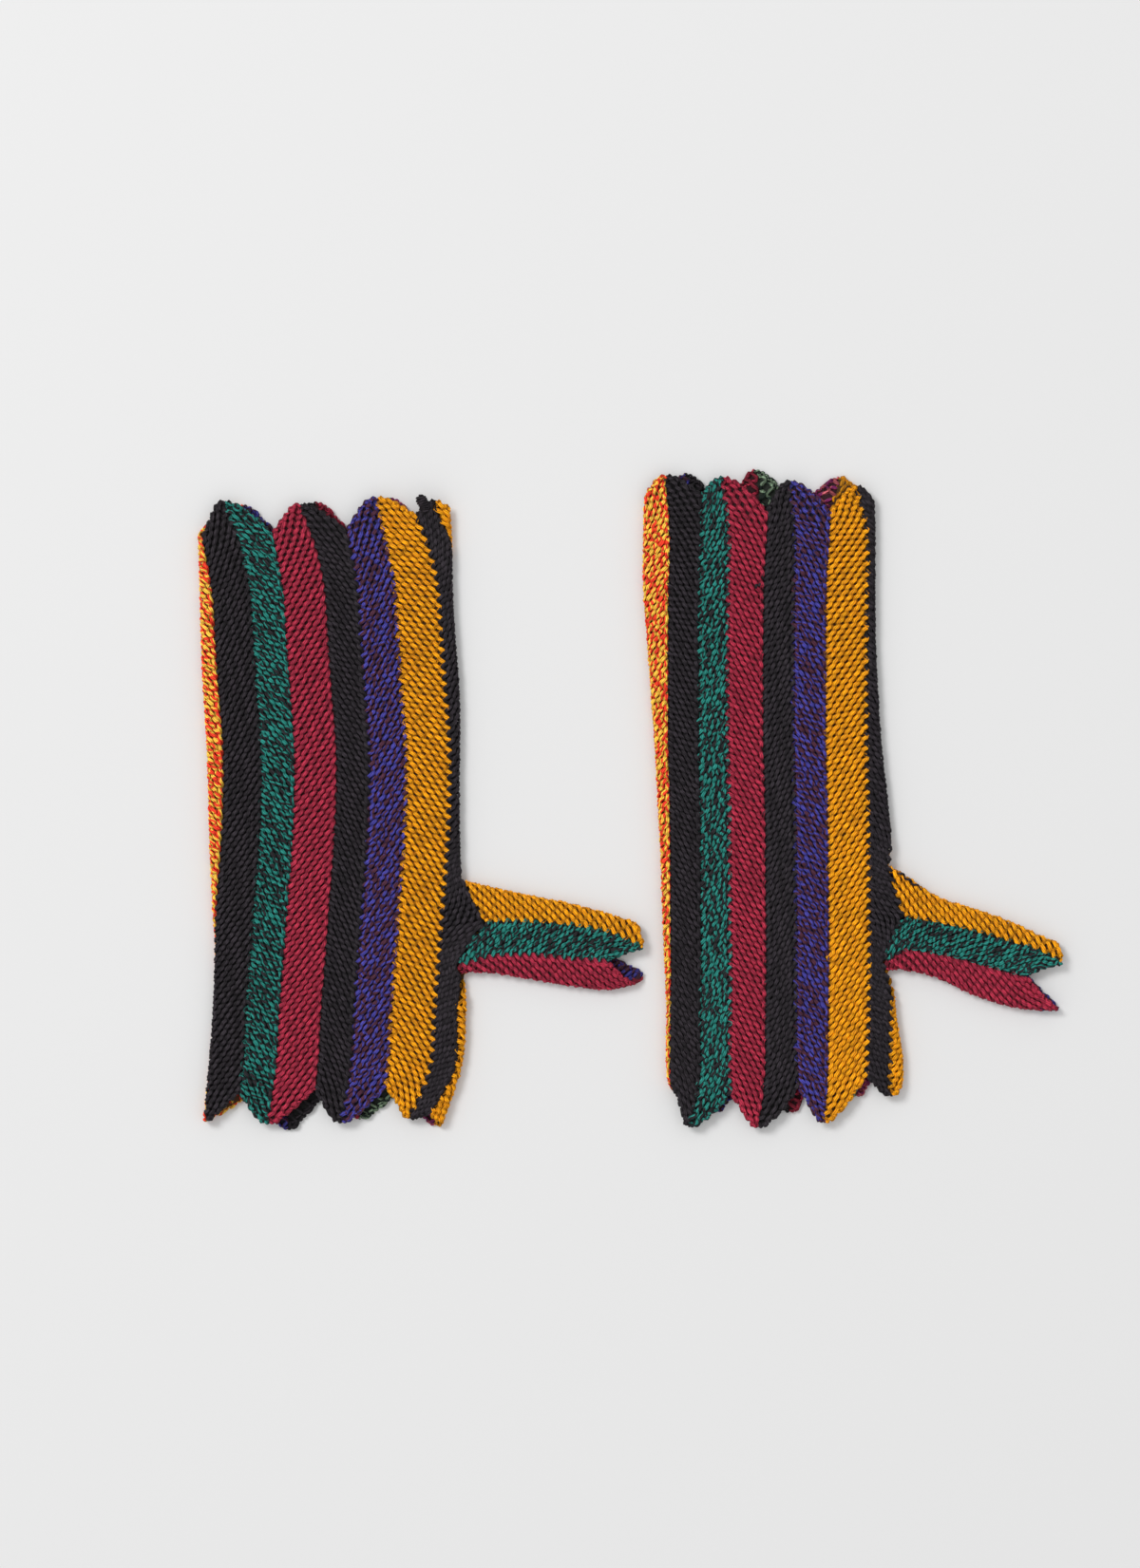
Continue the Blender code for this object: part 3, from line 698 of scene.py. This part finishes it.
def hem_cord(tube, number, end):
    """The path of the yarn that binds a stripe off at one hem. It winds along the hem: at the angle a =
    2 pi along / pitch it stands the winding's sin a out of the cloth and cos a beyond its end."""
    u = np.linspace(0, 1, HEM_STEPS + 1)
    points, normals = tube.cloth(number, u, np.full(len(u), float(end)))
    ahead = np.gradient(points, axis=0)
    along = np.append(0, np.cumsum(np.linalg.norm(np.diff(points, axis=0), axis=1)))
    beyond = np.cross(normals, ahead)
    beyond /= np.linalg.norm(beyond, axis=1, keepdims=True)
    a = (2 * np.pi * along / HEM_PITCH)[:, None]
    winding = HEM_WINDING * (np.sin(a) * normals + np.cos(a) * beyond)
    return points + winding, normals, 0.5 + 0.5 * np.sin(a[:, 0])


def loose_yarn(loose):
    """The path of a yarn that winds round a short line of its own, as where a hem has rolled up: at the
    angle a = 2 pi along / pitch it stands radius cos a beside the line and radius sin a above it."""
    knots = np.array(loose.points)
    share = np.linspace(0, 1, len(knots))
    line = np.stack([smooth(np.linspace(0, 1, LINE_STEPS), share, knots[:, k]) for k in range(4)], axis=-1)
    length = np.append(0, np.cumsum(np.linalg.norm(np.diff(line[:, :3], axis=0), axis=1)))
    steps = int(np.ceil(length[-1] / loose.pitch * LOOSE_STEPS))
    at = np.linspace(0, length[-1], steps + 1)
    middle = np.stack([np.interp(at, length, line[:, k]) for k in range(3)], axis=-1)
    ahead = np.gradient(middle, axis=0)
    ahead /= np.linalg.norm(ahead, axis=1, keepdims=True)
    beside = np.cross(ahead, (0.0, 0.0, 1.0))
    beside /= np.linalg.norm(beside, axis=1, keepdims=True)
    a = (2 * np.pi * at / loose.pitch)[:, None]
    away = np.cos(a) * beside + np.sin(a) * np.cross(beside, ahead)
    radius = np.interp(at, length, line[:, 3])[:, None]
    return middle + radius * away, away, 0.6 + 0.4 * np.sin(a[:, 0])


def yarn_tube(path, normals, front, section):
    """A section carried along a yarn's path and turned by the swells, closed at both ends: its points, its
    faces, its map, which runs along it in mm and once round it, and how far in front each point is."""
    ahead = np.gradient(path, axis=0)
    ahead /= np.linalg.norm(ahead, axis=1, keepdims=True)
    sideways = np.cross(normals, ahead)
    sideways /= np.linalg.norm(sideways, axis=1, keepdims=True)
    upward = np.cross(ahead, sideways)
    length = np.append(0, np.cumsum(np.linalg.norm(np.diff(path, axis=0), axis=1)))
    turned = np.zeros(len(path))
    for swell in SWELLS:
        turned += np.radians(swell.degrees) * np.sin(2 * np.pi * length / swell.length)
    turned = turned[:, None]
    ring = np.array(section)
    sides = len(ring)
    across = (np.cos(turned) * sideways + np.sin(turned) * upward)[:, None, :]
    out = (np.cos(turned) * upward - np.sin(turned) * sideways)[:, None, :]
    points = path[:, None, :] + ring[:, 0, None] * across + ring[:, 1, None] * out
    points[:, :, 2] = np.maximum(points[:, :, 2], LEAST_HEIGHT)
    count = len(path)
    index = np.arange(count * sides).reshape(count, sides)
    beside = np.roll(index, -1, axis=1)
    quads = np.stack([index[:-1], beside[:-1], beside[1:], index[1:]], axis=-1).reshape(-1, 4)
    around = np.arange(sides + 1) / sides
    low_along, high_along = np.repeat(length[:-1], sides), np.repeat(length[1:], sides)
    low_round, high_round = np.tile(around[:-1], count - 1), np.tile(around[1:], count - 1)
    corners_u = np.stack([low_along, low_along, high_along, high_along], axis=-1)
    corners_v = np.stack([low_round, high_round, high_round, low_round], axis=-1)
    uv = np.stack([corners_u, corners_v], axis=-1).reshape(-1, 2)
    caps = [index[0, ::-1].tolist(), index[-1].tolist()]
    uv_caps = np.concatenate([np.zeros((sides, 2)), np.tile([length[-1], 0.0], (sides, 1))])
    return points.reshape(-1, 3), quads.tolist() + caps, np.concatenate([uv, uv_caps]), np.repeat(front, sides)


def joined(name, tubes, material):
    """One object of several yarns, with how far in front each point is, from 0 to 1, as an attribute that the
    yarn's material turns into painted shade.
    """
    points, faces, uv, front, start = [], [], [], [], 0
    for tube_points, tube_faces, tube_uv, tube_front in tubes:
        points.append(tube_points)
        front.append(tube_front)
        faces += [[start + corner for corner in face] for face in tube_faces]
        uv.append(tube_uv)
        start += len(tube_points)
    mesh = bpy.data.meshes.new(name)
    mesh.from_pydata((np.concatenate(points) * MM).tolist(), [], faces)
    layer = mesh.uv_layers.new(name="strand")
    layer.data.foreach_set("uv", np.concatenate(uv).astype(np.float32).ravel())
    depth = mesh.attributes.new("front", "FLOAT", "POINT")
    depth.data.foreach_set("value", np.clip(np.concatenate(front), 0, 1).astype(np.float32))
    mesh.shade_smooth()
    mesh.materials.append(material)
    return link(name, mesh)


def link(name, mesh):
    thing = bpy.data.objects.new(name, mesh)
    bpy.context.scene.collection.objects.link(thing)
    return thing


def painted_shade_cloth(name, tube, stripes, along, material):
    """The close body of the knit that shows between its stitches: one thin sheet all round a tube, beside
    the middle of its wall, in each stripe's colour darkened as painted shade."""
    u = np.linspace(0, 1, GROUND_ACROSS + 1)[:, None]
    v = np.linspace(GROUND_HEM, 1 - GROUND_HEM, along + 1)[None, :]
    points, colours = [], []
    for number, stripe in enumerate(stripes):
        grid, normals = tube.cloth(number, *np.broadcast_arrays(u, v))
        points.append(grid + (GROUND_OUT if stripe.shows else GROUND_BACK_OUT) * normals)
        yarn = YARNS[stripe.yarn]
        colour = (np.array(yarn.first) + np.array(yarn.second)) / 2
        # Painted shade: each stripe's colour darkened for the shaded legs and hollows between its stitches.
        colours.append(np.append(colour * GROUND_PAINTED_SHADE, 1.0))
    size = (GROUND_ACROSS + 1) * (along + 1)
    index = np.arange(size).reshape(GROUND_ACROSS + 1, along + 1)
    quads = np.stack([index[:-1, :-1], index[1:, :-1], index[1:, 1:], index[:-1, 1:]], axis=-1)
    quads = quads.reshape(-1, 4)
    faces = np.concatenate([quads + k * size for k in range(len(stripes))])
    mesh = bpy.data.meshes.new(name)
    mesh.from_pydata((np.concatenate([p.reshape(-1, 3) for p in points]) * MM).tolist(), [], faces.tolist())
    # The painted shade of each stripe, kept on the sheet's corners.
    painted_shade_dye = mesh.attributes.new("painted_shade_dye", "FLOAT_COLOR", "CORNER")
    shades = np.repeat(np.array(colours), 4 * len(quads), axis=0)
    painted_shade_dye.data.foreach_set("color", shades.astype(np.float32).ravel())
    mesh.shade_smooth()
    mesh.materials.append(material)
    return link(name, mesh)


class Signal:
    """A shader socket that can be used in sums: each operator adds a Math node."""

    def __init__(self, board, socket):
        self.board, self.socket = board, socket

    def __add__(self, other):
        return self.board.math("ADD", self, other)

    def __sub__(self, other):
        return self.board.math("SUBTRACT", self, other)

    def __rsub__(self, other):
        return self.board.math("SUBTRACT", other, self)

    def __mul__(self, other):
        return self.board.math("MULTIPLY", self, other)

    def __truediv__(self, other):
        return self.board.math("DIVIDE", self, other)

    __radd__ = __add__
    __rmul__ = __mul__

    def other(self, name):
        """Another output of the same node."""
        return Signal(self.board, self.socket.node.outputs[name])


class Board:
    """One material's nodes, around its Principled shader."""

    def __init__(self, name):
        self.material = bpy.data.materials.new(name)
        self.material.use_nodes = True
        self.tree = self.material.node_tree
        self.shader = self.tree.nodes["Principled BSDF"]

    def feed(self, socket, value):
        if isinstance(value, Signal):
            self.tree.links.new(value.socket, socket)
        else:
            socket.default_value = value

    def add(self, kind, inputs=None, output=0, **settings):
        """A node of that kind with its settings, then its sockets' values or links; returns an output."""
        node = self.tree.nodes.new(kind)
        for name, value in settings.items():
            setattr(node, name, value)
        for name, value in (inputs or {}).items():
            self.feed(node.inputs[name], value)
        return Signal(self, node.outputs[output])

    def math(self, operation, a, b=0.0):
        return self.add("ShaderNodeMath", {0: a, 1: b}, operation=operation)

    def wave(self, turns):
        """The cosine of a number of whole turns."""
        return self.math("COSINE", turns * (2 * np.pi))

    def step(self, value, low, high):
        """0 below low, 1 above high, and smooth between them."""
        inputs = {"Value": value, "From Min": low, "From Max": high}
        return self.add("ShaderNodeMapRange", inputs, interpolation_type="SMOOTHSTEP")

    def noise(self, vector, scale, detail=2.0):
        return self.add("ShaderNodeTexNoise", {"Vector": vector, "Scale": scale, "Detail": detail})

    def vector(self, x, y, z=0.0):
        return self.add("ShaderNodeCombineXYZ", {"X": x, "Y": y, "Z": z})

    def mix(self, factor, a, b, blend="MIX"):
        """A colour mixed of two: sockets 0, 6 and 7 of a colour Mix node are its factor and colours."""
        return self.add("ShaderNodeMix", {0: factor, 6: a, 7: b}, 2, data_type="RGBA", blend_type=blend)

    def surface(self, **sockets):
        for name, value in sockets.items():
            self.feed(self.shader.inputs[name.replace("_", " ")], value)


def rgba(colour, shade=1.0):
    return (*[part * shade for part in colour], 1.0)


def yarn_material(name, yarn):
    """Two plies turned round each other: cos(round + along / turn) is high on one and low on the other.
    Streaks of fibre run along both, two grooves part them, bumped and painted darker as shade, and a
    painted shade darkens each stitch from its front to its back, with a painted highlight on its front."""
    board = Board(name)
    place = board.add("ShaderNodeTexCoord", output="Object")
    strand_map = board.add("ShaderNodeUVMap", uv_map="strand")
    along = board.add("ShaderNodeSeparateXYZ", {"Vector": strand_map})
    around = along.other("Y")
    drift = board.noise(place, DRIFT_SCALE, 1.0) - 0.5
    ply = board.wave(around + along / yarn.turn + drift * yarn.uneven)
    middle = 1.6 * (0.5 - yarn.share)
    second = board.step(ply, middle + PLY_BLEND, middle - PLY_BLEND)
    # The grooves between the plies are a bump and also a painted shade in the colour.
    grooves = board.wave(around * 2.0 + along / GROOVE_LENGTH + drift * GROOVE_DRIFT)
    groove = board.step(board.math("ABSOLUTE", grooves), 0.0, 0.6)
    front = board.add("ShaderNodeAttribute", output="Fac", attribute_name="front")
    streaks = board.vector(along * FIBRE_LENGTH, board.wave(around), board.wave(around + 0.25))
    fibre = board.noise(streaks, FIBRE_SCALE)
    patch = board.noise(place, PATCH_SCALE)
    # Painted shade and highlight: darker towards a stitch's back, brighter on its foremost part.
    bead = board.math("MAXIMUM", front * 2.0 - 1.0, 0.0)
    depth = 0.45 + front * 0.35 + bead * 0.40
    # The painted shade of the grooves and of the stitch's depth, times the random tone of fibres and patches.
    light = (0.55 + fibre * 0.5 + patch * 0.6) * (0.30 + groove * 0.80) * depth
    colour = board.mix(second, rgba(yarn.first), rgba(yarn.second))
    shaded = board.mix(1.0, colour, board.vector(light, light, light), "MULTIPLY")
    bump = board.add("ShaderNodeBump", {"Strength": 0.6, "Distance": BUMP_DEPTH, "Height": groove + fibre * 0.3})
    board.surface(Base_Color=shaded, Roughness=0.55 + fibre * 0.2, Normal=bump)
    board.surface(Specular_IOR_Level=0.20)
    return board.material


def painted_shade_material():
    """The sheet between the stitches in painted shade: each stripe's colour darkened, broken up by fine noise."""
    board = Board("painted_shade_cloth")
    painted_shade_dye = board.add("ShaderNodeAttribute", output="Color", attribute_name="painted_shade_dye")
    place = board.add("ShaderNodeTexCoord", output="Object")
    speck = board.noise(place, SPECK_SCALE)
    light = 0.5 + speck * 0.8
    board.surface(Base_Color=board.mix(1.0, painted_shade_dye, board.vector(light, light, light), "MULTIPLY"))
    bump = board.add("ShaderNodeBump", {"Strength": 0.5, "Distance": BUMP_DEPTH, "Height": speck})
    board.surface(Normal=bump, Roughness=0.9)
    return board.material


def dress(side, glove, yarns, ground):
    """Both tubes of one glove: the yarn of every stripe, with its hems and loose yarns, and the ground
    cloth in painted shade below it. A thumb has a hem at its tip alone."""
    hand = Hand(glove)
    tubes = (
        ("hand", hand, STRIPES, STITCHES, GROUND_ALONG, (0, 1)),
        ("thumb", hand.thumb, THUMB_STRIPES, THUMB_STITCHES, GROUND_THUMB_ALONG, (1,)),
    )
    for tube_name, tube, stripes, stitches, along, hems in tubes:
        for number, stripe in enumerate(stripes):
            section = FINE_SECTION if stripe.courses >= FINE_COURSES else PLAIN_SECTION
            chance = np.random.default_rng(SEEDS[side, tube_name] + number)
            yarn = [yarn_tube(*strand(tube, number, stripe, stitches, chance), section)]
            for end in hems:
                yarn.append(yarn_tube(*hem_cord(tube, number, end), HEM_SECTION))
            for loose in glove.loose:
                if loose.stripe == stripe.name:
                    yarn.append(yarn_tube(*loose_yarn(loose), HEM_SECTION))
            node = f"{side}_{stripe.name}"
            piece = joined(f"{node}_knit", yarn, yarns[stripe.yarn])
            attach(piece, "root")
            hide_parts(node)
        # The dark sheet below the yarn, coloured as painted shade.
        cloth = painted_shade_cloth(f"{side}_{tube_name}_ground", tube, stripes, along, ground)
        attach(cloth, "root")


def camera():
    """A camera straight above the picture's middle, whose view is as high as the picture."""
    lens = bpy.data.cameras.new("camera")
    lens.sensor_fit = "VERTICAL"
    lens.sensor_width = SENSOR
    lens.sensor_height = SENSOR
    lens.lens = SENSOR * CAMERA_HEIGHT / PICTURE_HEIGHT
    lens.clip_end = FAR
    thing = bpy.data.objects.new("camera", lens)
    thing.location = (PICTURE_MIDDLE[0] * MM, PICTURE_MIDDLE[1] * MM, CAMERA_HEIGHT * MM)
    bpy.context.scene.collection.objects.link(thing)
    bpy.context.scene.camera = thing


def lamp(name, place, target, size, watts):
    """A square soft lamp at a place, facing a target."""
    light = bpy.data.lights.new(name, "AREA")
    light.size = size
    light.energy = watts
    thing = bpy.data.objects.new(name, light)
    ahead = np.array(target) - np.array(place)
    thing.location = place
    thing.rotation_mode = "QUATERNION"
    thing.rotation_quaternion = Vector(ahead).to_track_quat("-Z", "Y")
    bpy.context.scene.collection.objects.link(thing)


def table():
    half = TABLE_SIZE / 2
    corners = [(-half, -half, 0), (half, -half, 0), (half, half, 0), (-half, half, 0)]
    mesh = bpy.data.meshes.new("table")
    mesh.from_pydata(corners, [], [(0, 1, 2, 3)])
    board = Board("table")
    board.surface(Base_Color=rgba(TABLE_COLOUR), Roughness=0.9, Specular_IOR_Level=0.1)
    mesh.materials.append(board.material)
    top = link("table", mesh)
    top.location.z = TABLE_HEIGHT


def studio():
    world = bpy.data.worlds.new("studio")
    world.use_nodes = True
    sky = world.node_tree.nodes["Background"]
    sky.inputs["Color"].default_value = (1.0, 1.0, 1.0, 1.0)
    sky.inputs["Strength"].default_value = SKY_STRENGTH
    bpy.context.scene.world = world
    bpy.context.scene.view_settings.view_transform = "Standard"
    lamp("window", WINDOW_PLACE, (0.0, 0.0, 0.0), WINDOW_SIZE, WINDOW_WATTS)
    table()


def main():
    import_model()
    camera()
    studio()
    yarns = {name: yarn_material(f"{name}_yarn", yarn) for name, yarn in YARNS.items()}
    ground = painted_shade_material()
    for side, glove in PAIR.items():
        dress(side, glove, yarns, ground)


main()
